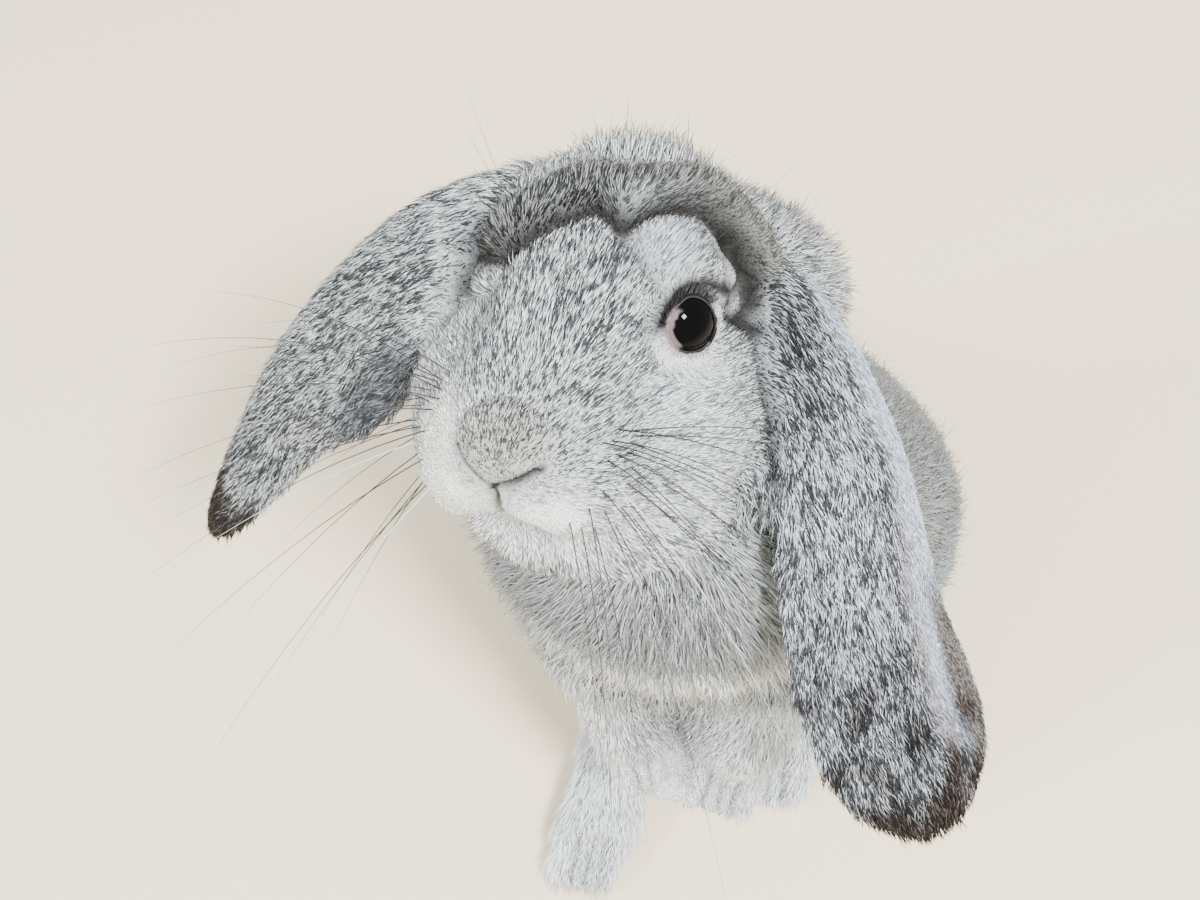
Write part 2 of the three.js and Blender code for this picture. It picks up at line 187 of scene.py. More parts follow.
def smooth_line(knots, steps=14):
    """A Catmull-Rom curve through the knots."""
    knots = np.array(knots, float)
    padded = np.vstack([2 * knots[0] - knots[1], knots, 2 * knots[-1] - knots[-2]])
    points = []
    for k in range(len(knots) - 1):
        a, b, c, d = padded[k:k + 4]
        for t in np.linspace(0, 1, steps, endpoint=False):
            points.append(0.5 * (2 * b + (c - a) * t + (2 * a - 5 * b + 4 * c - d) * t * t
                                 + (3 * b - a - 3 * c + d) * t ** 3))
    points.append(knots[-1])
    return np.array(points)


# ---------------------------------------------------------------- mesh helpers

def relax(values, edges, steps, share=0.5):
    """Draws each vertex's values towards its neighbours' mean."""
    a, b = edges.T
    count = len(values)
    neighbours = np.bincount(edges.ravel(), minlength=count)[:, None]
    for _ in range(steps):
        total = np.stack([np.bincount(a, column[b], count) + np.bincount(b, column[a], count)
                          for column in values.T], axis=1)
        values = values + share * (total / neighbours - values)
    return values


def normals_of(points, triangles):
    corners = points[triangles]
    across = np.cross(corners[:, 1] - corners[:, 0], corners[:, 2] - corners[:, 0])
    total = np.stack([sum(np.bincount(triangles[:, k], across[:, axis], len(points))
                          for k in range(3)) for axis in range(3)], axis=1)
    return unit(total)


def arrays_of(mesh):
    points = np.empty(len(mesh.vertices) * 3)
    mesh.vertices.foreach_get("co", points)
    edges = np.empty(len(mesh.edges) * 2, int)
    mesh.edges.foreach_get("vertices", edges)
    mesh.calc_loop_triangles()
    triangles = np.empty(len(mesh.loop_triangles) * 3, int)
    mesh.loop_triangles.foreach_get("vertices", triangles)
    return points.reshape(-1, 3), edges.reshape(-1, 2), triangles.reshape(-1, 3)


def mesh_of(name, points, triangles):
    mesh = bpy.data.meshes.new(name)
    mesh.vertices.add(len(points))
    mesh.vertices.foreach_set("co", np.asarray(points, np.float32).ravel())
    mesh.loops.add(triangles.size)
    mesh.loops.foreach_set("vertex_index", triangles.astype(np.int32).ravel())
    mesh.polygons.add(len(triangles))
    mesh.polygons.foreach_set("loop_start", np.arange(0, triangles.size, 3, dtype=np.int32))
    mesh.polygons.foreach_set("use_smooth", np.ones(len(triangles), bool))
    mesh.update(calc_edges=True)
    return mesh


def paint(mesh, colours, name="coat_colour"):
    layer = mesh.color_attributes.new(name, "FLOAT_COLOR", "POINT")
    rgba = np.ones((len(colours), 4), np.float32)
    rgba[:, :3] = colours
    layer.data.foreach_set("color", rgba.ravel())


def piece_of(name, mesh, material):
    piece = bpy.data.objects.new(name, mesh)
    bpy.context.scene.collection.objects.link(piece)
    mesh.materials.append(material)
    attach(piece, BODY)
    return piece


def unwrapped(points, triangles):
    """The patch's own unwrap: a place in the unit square for each corner of each triangle."""
    used, renumbered = np.unique(triangles, return_inverse=True)
    mesh = mesh_of("unwrap", points[used], renumbered.reshape(-1, 3))
    patch = bpy.data.objects.new("unwrap", mesh)
    bpy.context.scene.collection.objects.link(patch)
    bpy.ops.object.select_all(action="DESELECT")
    bpy.context.view_layer.objects.active = patch
    patch.select_set(True)
    bpy.ops.object.mode_set(mode="EDIT")
    bpy.ops.mesh.select_all(action="SELECT")
    bpy.ops.uv.smart_project(angle_limit=math.radians(66), island_margin=0.004)
    bpy.ops.object.mode_set(mode="OBJECT")
    uv = np.empty(len(triangles) * 6)
    patch.data.uv_layers.active.data.foreach_get("uv", uv)
    bpy.data.objects.remove(patch)
    bpy.data.meshes.remove(mesh)
    return uv.reshape(-1, 3, 2)


# ---------------------------------------------------------------- skin

VOXEL = 1.72 * MM
SEAM_REACH = 0.45 * MM     # each part grows by this, so that the parts meet
EYE_REACH = 2.0 * MM       # the eyes fill their sockets, so that the skin lies over them
FINE_NOSE, FINE_EYE = 24, 15   # mm around the nose and the eyes where the skin is finer
FINE_CROWN = ((2, 6, 31), 30)  # mm on the head: the folded crown's middle and reach


def flesh_in_one():
    """The parts' merged copies, grown until they meet, as one closed skin of even squares."""
    joined = bmesh.new()
    for part in PARTS + ["eye_left", "eye_right"]:
        shell = bmesh.new()
        shell.from_mesh(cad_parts[part].data)
        bmesh.ops.remove_doubles(shell, verts=shell.verts, dist=0.01 * MM)
        shell.normal_update()
        for vertex in shell.verts:
            vertex.co += vertex.normal * (SEAM_REACH if part in PARTS else EYE_REACH)
        mesh = bpy.data.meshes.new(part)
        shell.to_mesh(mesh)
        shell.free()
        joined.from_mesh(mesh)
        bpy.data.meshes.remove(mesh)
    mesh = bpy.data.meshes.new("flesh")
    joined.to_mesh(mesh)
    joined.free()
    flesh = bpy.data.objects.new("flesh", mesh)
    bpy.context.scene.collection.objects.link(flesh)
    remesh = flesh.modifiers.new("even", "REMESH")
    remesh.mode = "VOXEL"
    remesh.voxel_size = VOXEL
    even = bpy.data.meshes.new_from_object(
        flesh.evaluated_get(bpy.context.evaluated_depsgraph_get()))
    bpy.data.objects.remove(flesh)
    return even


def nearest_parts(points):
    """The number of the part whose solid is nearest to each point."""
    corners, faces, owner = [], [], []
    for number, part in enumerate(PARTS):
        found, _, triangles = arrays_of(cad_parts[part].data)
        faces.extend((triangles + len(corners)).tolist())
        corners.extend(found.tolist())
        owner.extend([number] * len(triangles))
    tree = BVHTree.FromPolygons(corners, faces, all_triangles=True)
    owner = np.array(owner)
    return owner[[tree.find_nearest(point)[2] for point in points.tolist()]]


def smoothed(points, edges, part):
    """Rounds off the solids' facets: most on the trunk, least on the ears."""
    big = np.isin(part, [PARTS.index(name) for name in BIG_PARTS])[:, None]
    ear = np.isin(part, [PARTS.index("ear_left"), PARTS.index("ear_right")])[:, None]
    points = relax(points, edges, 6)
    points = relax(points, edges, 9, 0.5 * relax((~ear).astype(float), edges, 5))
    return relax(points, edges, 26, 0.5 * relax(big.astype(float), edges, 8))


def refined(mesh):
    """Halves the skin's squares round the nose and the eyes, and makes all of it triangles."""
    net = bmesh.new()
    net.from_mesh(mesh)
    nose = Vector(on_head(*NOSE_TIP))
    eyes = [Vector(on_head(side * EYE_PLACE[0], EYE_PLACE[1], EYE_PLACE[2]))
            for side in SIDES.values()]
    crown = Vector(on_head(*FINE_CROWN[0]))
    fine = [edge for edge in net.edges
            if all((corner.co - nose).length < FINE_NOSE * MM
                   or (corner.co - crown).length < FINE_CROWN[1] * MM
                   or min((corner.co - eye).length for eye in eyes) < FINE_EYE * MM
                   for corner in edge.verts)]
    bmesh.ops.subdivide_edges(net, edges=fine, cuts=1, use_grid_fill=True)
    bmesh.ops.triangulate(net, faces=net.faces)
    net.to_mesh(mesh)
    net.free()


def mirrored(line):
    return [(-x, y, z) for x, y, z in line]


def sunk(line, depth):
    """A line of the coat's tips, brought down the line of sight onto the skin."""
    return np.array(line) - np.array(SIGHT) * depth


def off_body(line):
    """A line given in mm from the spot below the chest, in mm on the head."""
    return head_mm(np.array([placed(*place) for place in line]))


# Claw roots: the toe line of each foot, in mm: the middle of the toes, the way ahead, its spread.
CLAW_ROWS = {
    "hind_left": ((30.5, -57, 6), (-0.05, -1, -0.15), 15, 4),
    "hind_right": ((-30.5, -93, 6), (-0.17, -0.98, -0.15), 15, 4),
    "fore_left": ((13, -71, 82), (-0.2, -0.55, -0.8), 13, 4),
    "fore_right": ((-8, -67, 82), (0.15, -0.5, -0.85), 13, 4),
}
NOSTRIL = [(-0.3, -52.6, -2.4), (1.8, -52.3, -1.2), (4.9, -51.9, 1), (7.2, -50.9, 2.7),
           (9.4, -49, 4.1)]
SIGHT = (0.265, -0.70, 0.663)          # the way to the camera, on the head
# Folds of the head: the line in mm on the head, how deep and how wide the skin dips along it,
# how dark the coat is there from 0 to 1 (painted shade in the fold; along the crease and the ears' fronts also
# dark-tipped hair), how wide the dark is, and how far the hair is short.
FOLDS = {
    "crease": (sunk([(-26, -5, 17), (-19.7, -10.5, 21.9), (-15.2, -10.5, 26.5), (-10.7, -7.4, 30),
                (-7, -4.4, 31.7), (-3.6, -1.8, 32.9), (-0.2, -0.4, 33.5), (3.1, -1.3, 33),
                (5.4, -2.5, 32.4), (7.7, -1, 32.7), (10.7, 3.8, 33.4), (14.8, 8.4, 32.9),
                (18.3, 11.5, 31.4), (21.8, 12.3, 29.4), (26, 14, 24.5), (30.4, 17, 15),
                (31, 14.5, 10)], 5), 2.6, 1.4, 1, 1.9, 4.2),
    "crown_back": (sunk([(-29, 8, 16), (-20, 0.5, 28.5), (-18.6, 2.5, 30.2), (-17.2, 10.6, 32.1),
                    (-11.8, 14.3, 35), (-5, 14.5, 36)], 4), 2.6, 2.6, 0.7, 3.0, 4.0),
    "brow": (sunk([(5.4, -2.5, 32.4), (9.3, -5.8, 30.9), (12.4, -7.8, 28.8),
                   (15.3, -10.2, 26.8)], 4.5), 1.6, 2.0, 0.5, 2.6, 3.0),
    "wrinkle_outer": (sunk([(23.4, 12.3, 27.4), (26.7, 14.6, 22.4), (28.8, 15.3, 17.9),
                       (29.1, 12.5, 15), (27.8, 7.1, 14.3)], 5.5), 2.4, 1.3, 0.95, 1.5, 4.5),
    "wrinkle_inner": (sunk([(23.3, 8.1, 27.1), (25.5, 10.7, 22.9), (27, 10.6, 19.7),
                            (27, 7.8, 17.8)], 5.5), 2.2, 1.2, 0.85, 1.3, 4.5),
    "eye_behind": (sunk([(27, 4.2, 13.2), (29.6, 7.6, 10.3), (31.8, 11.2, 7),
                         (33.6, 13.2, 4)], 4.5), 3.2, 1.7, 1, 2.2, 4.0),
    "lid_line": (sunk([(20.6, -8.3, 21.9), (21.3, -5.8, 23.1), (22.4, -1.3, 22), (24.3, 2.6, 20.6),
                  (26.4, 6.3, 18.1), (28.2, 9.6, 15.5)], 4), 1.0, 1.4, 1, 2.3, 3.5),
    "nostril_left": (NOSTRIL, 3.4, 1.1, 1, 1.1, 3.0),
    "nostril_right": (mirrored(NOSTRIL), 3.0, 0.85, 1, 0.7, 3.0),
    "philtrum": ([(-0.3, -52.6, -2.8), (0, -52.5, -8), (-0.4, -49.5, -13), (-0.8, -45, -18)],
                 2.8, 0.9, 0.9, 0.9, 3.0),
    "mouth": ([(-17, -36, -24), (-9, -41, -22), (-0.8, -44, -18.5), (9, -41, -22), (17, -35, -24)],
              3.6, 1.2, 0.9, 1.2, 3.0),
    "throat": ([(-34, -2, -28), (-26, -14, -38), (-12, -27, -44), (3, -31, -46), (18, -27, -46),
                (29, -15, -46), (34, -7, -44)], 6.5, 5.0, 0.25, 4.0, 3.0),
    "ear_front_left": ([(31.2, 18.1, 12.3), (31.9, 16.4, 9.5), (33.6, 13.2, 4),
                        (37.3, 9.7, -6.3), (40.2, 9.1, -19.6), (43.4, 6.8, -32)],
                       1.4, 1.8, 0.95, 2.4, 2.5),
    "ear_front_right": ([(-26, -5, 18), (-32.3, 3.5, 8.4), (-34.4, -0.1, 2.3), (-33.8, -8.9, -0.1),
                         (-34.1, -16, -3.7), (-37.3, -17, -12.7)], 2.8, 1.8, 0.7, 2.4, 3.5),
    "between_paws": (off_body([(0, -56.5, 120), (1, -62.5, 100), (1, -67, 90),
                               (0, -64, 80)]), 4.5, 3.5, 0.35, 4.0, 8.0),
}
for place, way, spread, count in CLAW_ROWS.values():
    way = unit(np.array(way, float))
    across = unit(np.cross(way, (0, 0, 1)))
    for k in range(count - 1):
        toe = np.array(place) + across * spread * ((k + 0.5) / (count - 1) - 0.5)
        FOLDS[f"toes_{len(FOLDS)}"] = (off_body([toe - way * 16 + (0, 0, 10), toe - way * 5 + (0, 0, 8),
                                                 toe + way * 5]), 2.4, 1.7, 0.4, 1.5, 2.5)

JOWL = [(-20, -26, -30), (-10, -33, -36), (3, -33.5, -39), (14, -31, -39), (25, -26, -35),
        (33, -16, -30), (38, -4, -24)]
JOWL_HANG, JOWL_WAY = 1.5, np.array((0, -0.5, -0.86))   # mm, and the way on the head
BARE_FOLDS = ("nostril_left", "nostril_right", "philtrum", "mouth")
NOSE_PAD = ((0, -47.5, 6), (8.6, 7, 8.6))   # its middle and its radii


def laid_on(line, at, outward):
    """A line of the head, smoothed and brought down onto its skin."""
    line = smooth_line(line, 5)
    near = [int(((at - point) ** 2).sum(1).argmin()) for point in line]
    out = outward[near]
    return line - out * ((line - at[near]) * out).sum(1)[:, None]


def groove(at, line, depth, width):
    """How deep a fold cuts at each point, fading out towards its ends."""
    gap, share, _ = along_line(at, line)
    ends = soft_step(0, 0.12, share) * soft_step(0, 0.12, 1 - share)
    return depth * np.exp(-(gap / width) ** 2) * ends


def behind_crease(at, crease):
    """How far each point lies behind the crown's crease, and how near it is to it."""
    gap, _, spot = along_line(at, crease)
    back = unit(spot - np.array(NOSE_TIP) * (1, 1, 0.6))
    return ((at - spot) * back).sum(1), gap


def head_relief(at, folds, jowl):
    """How far the head's skin rises, in metres, for its folds, cheeks, lips and nose."""
    rise = np.zeros(len(at))
    behind, gap = behind_crease(at, folds["crease"])
    rise += 4.6 * soft_step(-0.8, 2.4, behind) * np.exp(-(np.maximum(gap - 4, 0) / 6) ** 2)
    rise -= 1.6 * soft_step(0.6, -1.8, behind) * np.exp(-(gap / 7) ** 2)
    rise += 1.5 * bump_at(at, (4, 9, 37), (20, 7, 8))
    rise += 1.3 * bump_at(at, (16.5, 2, 28), (8, 7, 6))
    rise += groove(at, jowl, 4.0, 7.5)
    for side in SIDES.values():
        rise += 1.8 * bump_at(at, (side * 6.5, -50, -8), (5.5, 6, 5))
        rise += 1.2 * bump_at(at, (side * 15, -43, -5), (8, 8, 8))
        rise += (1.3 - 1.3 * side) * bump_at(at, (side * 31, -22, -6), (12, 17, 17))
        rise += (3.0 - side) * bump_at(at, (side * 12.5, -41, -17), (7, 7, 7))
        rise += 0.9 * bump_at(at, (side * 6, -50.5, 3.5), (4, 4, 3))
    rise += 2.0 * bump_at(at, (-11, -47, -9), (7, 8, 7))
    away = np.sqrt((((at - NOSE_PAD[0]) / NOSE_PAD[1]) ** 2).sum(1))
    rise += 1.9 * soft_step(1.25, 0.8, away)
    for name, (_, depth, width, _, _, _) in FOLDS.items():
        rise -= groove(at, folds[name], depth, width)
    return rise * MM


# ---------------------------------------------------------------- eyes

# How each pair of lids opens: the way it faces on the head, and how far it opens in degrees.
# The ear draws the right lids down.
LIDS = {
    1: {"axis": (0.76, -0.48, 0.44), "front": 52, "rear": 29, "up": 40, "down": 49},
    -1: {"axis": (-0.98, 0.12, -0.02), "front": 28, "rear": 42, "up": 18, "down": 44},
}
UPPER_LID = {1: (8, 22), -1: (3, 9)}   # degrees over which the upper lid's black hair ends
LID_STAND = 0.6 * MM       # of the lids' edge over the eyeball


def eye_frame(side):
    """The eye's centre, and the axis, the way to the nose and the way up of its lids."""
    axis = unit(np.array(LIDS[side]["axis"]))
    front = unit(np.array((0, -1, 0)) + axis * axis[1])
    up = np.cross(front, axis) * side
    if up[2] < 0:
        up = -up
    centre = on_head(side * EYE_PLACE[0], EYE_PLACE[1], EYE_PLACE[2])
    return centre, HEAD_TURN @ axis, HEAD_TURN @ front, HEAD_TURN @ up


def lid_angles(offsets, side):
    """For points round an eye: angle from the lids' axis, angle of the lids' edge there (both
    in degrees), and the shares towards the nose and up."""
    _, axis, front, up = eye_frame(side)
    way = unit(offsets)
    angle = np.degrees(np.arccos(np.clip(way @ axis, -1, 1)))
    ahead, high = way @ front, way @ up
    size = np.maximum(np.hypot(ahead, high), 1e-9)
    ahead, high = ahead / size, high / size
    wide = np.where(ahead > 0, LIDS[side]["front"], LIDS[side]["rear"])
    tall = np.where(high > 0, LIDS[side]["up"], LIDS[side]["down"])
    edge = 1 / np.sqrt((ahead / wide) ** 2 + (high / tall) ** 2)
    return angle, edge, ahead, high


def shape_lids(points):
    """Brings the skin round each eye onto the eyeball and hides what lies behind it."""
    for side in SIDES.values():
        centre = eye_frame(side)[0]
        offsets = points - centre
        reach = np.linalg.norm(offsets, axis=1)
        angle, edge, _, _ = lid_angles(offsets, side)
        near = reach < 17 * MM
        share = soft_step(0, 38, angle - edge)
        edge_reach = EYE_RADIUS + LID_STAND
        wanted = edge_reach + (np.maximum(reach, edge_reach) - edge_reach) * share
        wanted = np.where(angle < edge - 2, EYE_RADIUS * 0.86, wanted)
        points[near] = centre + unit(offsets[near]) * wanted[near, None]
    return points


def ear_shares(points, side):
    """For points on an ear: how far along it they are, the ways to its tip, out of its back and
    to its rear edge, and how far they lie to that edge, from -1 to 1."""
    spine = smooth_line(EAR_SPINE[side])
    _, share, spot = along_line(points, spine)
    ways = unit(np.gradient(spine, axis=0))
    way = ways[np.minimum((share * (len(spine) - 1)).astype(int), len(spine) - 1)]
    knots = np.linspace(0, 1, len(EAR_OUTSIDE[side]))
    outside = unit(np.stack([np.interp(share, knots, column)
                             for column in np.array(EAR_OUTSIDE[side]).T], axis=1))
    rear = unit(np.cross(outside, way)) * SIDES[side]
    across = ((points - spot) * rear).sum(1) / (EAR_WIDTH / 2)
    return SimpleNamespace(share=share, way=way, outside=outside, rear=rear, across=across)


def broadened_ears(points, share):
    """Draws out the left ear's rear edge and the right ear's turned front edge, and tells how
    far each point was drawn at that front edge, from 0 to 1."""
    ear = ear_shares(points, "left")
    amount = np.interp(ear.share, [0.15, 0.3, 0.5, 0.7, 1], [0, 6, 5, 3.5, 3]) * MM
    amount *= soft_step(0, 1, ear.across) * share[:, PARTS.index("ear_left")]
    gap, along, _ = along_line(points, np.array([placed(*place) for place in TURNED_EDGE]))
    drawn = soft_step(0, 0.3, along) * soft_step(0, 0.6, 1 - along)
    drawn *= np.exp(-(gap / TURNED_REACH) ** 2)
    drawn *= share[:, PARTS.index("ear_right")]
    moved = points + amount[:, None] * ear.rear
    return moved + drawn[:, None] * TURNED_BY * unit(np.array(TURNED_WAY)), drawn


def make_skin():
    mesh = flesh_in_one()
    points, edges, _ = arrays_of(mesh)
    points = smoothed(points, edges, nearest_parts(points))
    mesh.vertices.foreach_set("co", points.astype(np.float32).ravel())
    refined(mesh)
    points, edges, triangles = arrays_of(mesh)
    part = nearest_parts(points)
    share = relax(np.eye(len(PARTS))[part], edges, 16)
    depth = share @ np.array([COAT[name][0] for name in PARTS]) * MM
    nose_gap = np.linalg.norm(head_mm(points) - NOSE_TIP, axis=1)
    is_head = share[:, PARTS.index("head")]
    depth *= 1 - is_head * (1 - soft_step(2, 34, nose_gap)) * 0.55
    points = points - normals_of(points, triangles) * depth[:, None]
    points = relax(points, edges, 3)
    normals = normals_of(points, triangles)
    at = head_mm(points)
    outward = normals @ HEAD_TURN
    folds = {name: laid_on(fold[0], at, outward) for name, fold in FOLDS.items()}
    points, turned_out = broadened_ears(points, share)
    jowl = laid_on(JOWL, at, outward)
    off_ears = 1 - share[:, PARTS.index("ear_left")] - share[:, PARTS.index("ear_right")]
    rise = head_relief(at, folds, jowl) * off_ears
    hang = groove(at, jowl, JOWL_HANG, 9.5)[:, None] * MM * (HEAD_TURN @ JOWL_WAY)
    points = shape_lids(points + normals * rise[:, None] + hang)
    normals = normals_of(points, triangles)
    return SimpleNamespace(points=points, edges=edges, triangles=triangles, normals=normals,
                           part=part, share=share, is_head=is_head, at=at, folds=folds,
                           turned_out=turned_out)


# ---------------------------------------------------------------- markings

def grey(red, green, blue):
    """A colour given as seen on a screen, 0 to 255, as the light that makes it."""
    tone = np.array((red, green, blue)) / 255
    return np.where(tone <= 0.04045, tone / 12.92, ((tone + 0.055) / 1.055) ** 2.4)


# Light hair, dark hair, and the share of dark hair.
TONES = {
    "head": (grey(218, 223, 223), grey(40, 44, 46), 0.42),
    "neck": (grey(199, 203, 203), grey(128, 132, 133), 0.24),
    "trunk": (grey(163, 168, 171), grey(138, 142, 145), 0.2),
    "tail": (grey(232, 234, 234), grey(160, 162, 162), 0.2),
    "thigh_left": (grey(180, 189, 197), grey(134, 141, 148), 0.2),
    "thigh_right": (grey(180, 189, 197), grey(134, 141, 148), 0.2),
    "hind_foot_left": (grey(244, 248, 251), grey(204, 208, 212), 0.2),
    "hind_foot_right": (grey(244, 248, 251), grey(204, 208, 212), 0.2),
    "foreleg_left": (grey(238, 242, 245), grey(196, 200, 203), 0.2),
    "foreleg_right": (grey(238, 242, 245), grey(196, 200, 203), 0.2),
    "forepaw_left": (grey(246, 250, 252), grey(208, 212, 214), 0.18),
    "forepaw_right": (grey(246, 250, 252), grey(208, 212, 214), 0.18),
    "ear_left": (grey(210, 217, 224), grey(24, 27, 32), 0.52),
    "ear_right": (grey(202, 207, 208), grey(22, 25, 29), 0.53),
}
# Patches on the head: centre and radii in mm on the head, then light, dark and dark share.
HEAD_PATCHES = [
    ((0, -22, 26), (17, 26, 20), grey(218, 223, 223), grey(32, 36, 39), 0.46),
    ((32, -18, -6), (15, 22, 18), grey(230, 236, 238), grey(120, 126, 130), 0.22),
    ((-32, -18, -6), (15, 22, 18), grey(228, 232, 230), grey(120, 124, 126), 0.22),
    ((17.5, 1, 30), (9, 8, 6), grey(212, 219, 222), grey(126, 132, 136), 0.18),
    ((0, 34, 32), (34, 14, 18), grey(222, 224, 220), grey(150, 152, 150), 0.18),
    ((10, -49, -9), (7, 8, 5), grey(250, 251, 244), grey(220, 222, 216), 0.05),
    ((-10, -49, -9), (8, 9, 8), grey(250, 251, 242), grey(220, 222, 214), 0.05),
    ((-16, -44, 1), (6, 8, 6), grey(246, 247, 238), grey(206, 208, 200), 0.08),
    ((0, -36, -24), (20, 14, 9), grey(238, 241, 240), grey(176, 179, 180), 0.15),
    ((0, -48.5, 5.5), (8.2, 8, 8.2), grey(192, 193, 184), grey(44, 44, 40), 0.56),
]


ROLL_TONES = grey(86, 82, 67), grey(12, 11, 9), 0.6   # the brown-grey roll of the crown


def lay_coat(skin):
    """Gives every point of the skin its tufts' way, size, crowding and colours."""
    at = skin.at
    table = {name: COAT[name] for name in PARTS}
    skin.length = skin.share @ np.array([table[name][1] for name in PARTS]) * MM
    skin.width = skin.share @ np.array([table[name][2] for name in PARTS]) * MM
    skin.rise = skin.share @ np.array([table[name][3] for name in PARTS])
    skin.crowd = skin.share @ np.array([table[name][4] for name in PARTS]) * 1e4
    light = skin.share @ np.array([TONES[name][0] for name in PARTS])
    dark = skin.share @ np.array([TONES[name][1] for name in PARTS])
    dark_share = skin.share @ np.array([TONES[name][2] for name in PARTS])
    big = skin.share[:, [PARTS.index(name) for name in BIG_PARTS]].sum(1)[:, None]
    light += big * (relax(light, skin.edges, 160) - light)
    dark += big * (relax(dark, skin.edges, 160) - dark)

    flow = np.zeros_like(skin.points)
    for number, name in enumerate(PARTS):
        way = COAT[name][5]
        if name == "head":
            away = at - np.array(NOSE_TIP)
            way = unit(away) @ HEAD_TURN.T
        elif name.startswith("ear"):
            side = name.split("_")[1]
            ear = ear_shares(skin.points, side)
            way = ear.way
            here = skin.share[:, number]
            facing = (skin.normals * ear.outside).sum(1)
            inner = here * soft_step(0.05, -0.35, facing) * soft_step(0.55, 0.7, ear.share)
            bands = [(inner, grey(186, 180, 180), grey(128, 120, 120), 0.3, 0.4)]
            edge = ear.across + 0.06 * wavering(skin.points, 16 * MM, 5)
            deeper = soft_step(0.55, 0.95, ear.share) * 0.5
            bands.append((here * deeper, grey(150, 150, 150), grey(28, 27, 28), 0.55, 0))
            if side == "left":
                # A smoother, less ticked band towards the rear edge, its pale bluish tone painted cool light
                # falling on that side of the ear.
                smooth = soft_step(0.25, 0.45, edge) * soft_step(0.15, 0.35, ear.share)
                smooth *= soft_step(0.95, 0.8, ear.share)
                bands.append((here * smooth, grey(200, 209, 222), grey(158, 166, 180), 0.2, 0.35))
                # Darker, more ticked fur at the front of the ear's root: partly its dark-ticked hair, partly
                # painted shade where the ear meets the cheek.
                front = soft_step(0.6, -0.2, edge) * soft_step(0.5, 0.3, ear.share)
                bands.append((here * front * 0.9, grey(160, 167, 172), grey(14, 15, 18), 0.66, 0))
                flap = soft_step(0.55, 0.7, edge) * soft_step(0.62, 0.75, ear.share)
                bands.append((here * flap, grey(128, 124, 120), grey(62, 57, 55), 0.5, 0.3))
                seam = np.exp(-((ear.across - 0.38) / 0.07) ** 2) * soft_step(0.5, 0.65, ear.share)
                bands.append((here * seam * 0.7, grey(172, 156, 158), grey(120, 104, 104), 0.3, 0.2))
                rim = soft_step(0.86, 1.0, edge) * soft_step(0.66, 0.8, ear.share)
                bands.append((here * rim * 0.8, grey(80, 72, 68), grey(34, 30, 28), 0.6, 0.3))
                spots = soft_step(0.1, 0.6, wavering(skin.points, 13 * MM, 15))
                spots *= soft_step(0.68, 0.8, ear.share) * soft_step(0.35, 0.15, edge)
                bands.append((here * spots * 0.7, grey(92, 86, 84), grey(18, 16, 16), 0.75, 0))
                tip = soft_step(0.88, 0.97, ear.share + 0.05 * wavering(skin.points, 14 * MM, 5))
            else:
                rim = soft_step(0.55, 0.95, edge) * soft_step(0.4, 0.6, ear.share)
                bands.append((here * rim * 0.75, grey(84, 80, 78), grey(26, 24, 24), 0.6, 0))
                bands.append((here * soft_step(0.93, 0.97, ear.share), grey(24, 22, 21),
                              grey(12, 11, 11), 0.7, 0.2))
                tip = soft_step(0.78, 0.87, ear.share + 0.03 * wavering(skin.points, 12 * MM, 6))
            bands.append((here * tip, grey(84, 72, 66), grey(26, 22, 20), 0.7, 0.1))
            for band, band_light, band_dark, band_share, shorter in bands:
                light += band[:, None] * (band_light - light)
                dark += band[:, None] * (band_dark - dark)
                dark_share += band * (band_share - dark_share)
                skin.length *= 1 - shorter * band
        else:
            way = np.broadcast_to(unit(np.array(way, float)), flow.shape)
        flow += skin.share[:, number, None] * way
    flow = relax(flow, skin.edges, 8)
    flow -= (flow * skin.normals).sum(1)[:, None] * skin.normals
    skin.flow = unit(flow)

    nose_gap = np.linalg.norm(at - np.array(NOSE_TIP), axis=1)
    short = skin.is_head * (1 - soft_step(3, 40, nose_gap))
    skin.length *= 1 - 0.66 * short
    skin.width *= 1 - 0.3 * short
    skin.crowd *= 1 + 0.9 * short
    behind, gap = behind_crease(at, skin.folds["crease"])
    cheek = skin.is_head * bump_at(at, (0, 20, -20), (40, 26, 24))
    skin.length *= 1 + 0.8 * cheek

    roll = soft_step(-0.5, 1.5, behind) * (1 - soft_step(7, 22, gap))
    roll *= soft_step(4, 20, at[:, 2]) * np.clip(skin.is_head * 2, 0, 1)
    light += roll[:, None] * (ROLL_TONES[0] - light)
    dark += roll[:, None] * (ROLL_TONES[1] - dark)
    dark_share += roll * (ROLL_TONES[2] - dark_share)
    lining = soft_step(0.25, 0.5, skin.turned_out)
    light += lining[:, None] * (grey(142, 146, 152) - light)
    dark += lining[:, None] * (grey(56, 59, 64) - dark)
    for centre, radii, patch_light, patch_dark, patch_share in HEAD_PATCHES:
        here = skin.is_head * np.clip(1.6 * bump_at(at, centre, radii), 0, 1)
        light += here[:, None] * (patch_light - light)
        dark += here[:, None] * (patch_dark - dark)
        dark_share += here * (patch_share - dark_share)
    for name, (_, _, _, painted_shade, width, short) in FOLDS.items():
        gap, _, _ = along_line(at, skin.folds[name])
        # Painted shade: the coat darkens towards near-black along each fold's line (along the crease this is
        # also its dark-tipped hair).
        here = painted_shade * np.exp(-(gap / width) ** 2)
        light += here[:, None] * (grey(40, 38, 35) - light)
        dark += here[:, None] * (grey(12, 11, 10) - dark)
        in_front = soft_step(1.5, -0.5, behind) if name == "crease" else 1
        skin.length *= 1 - 0.72 * np.exp(-(gap / short) ** 2) * in_front
        if name in BARE_FOLDS:
            skin.crowd *= 1 - 0.98 * (1 - soft_step(0.8, 1.9, gap))

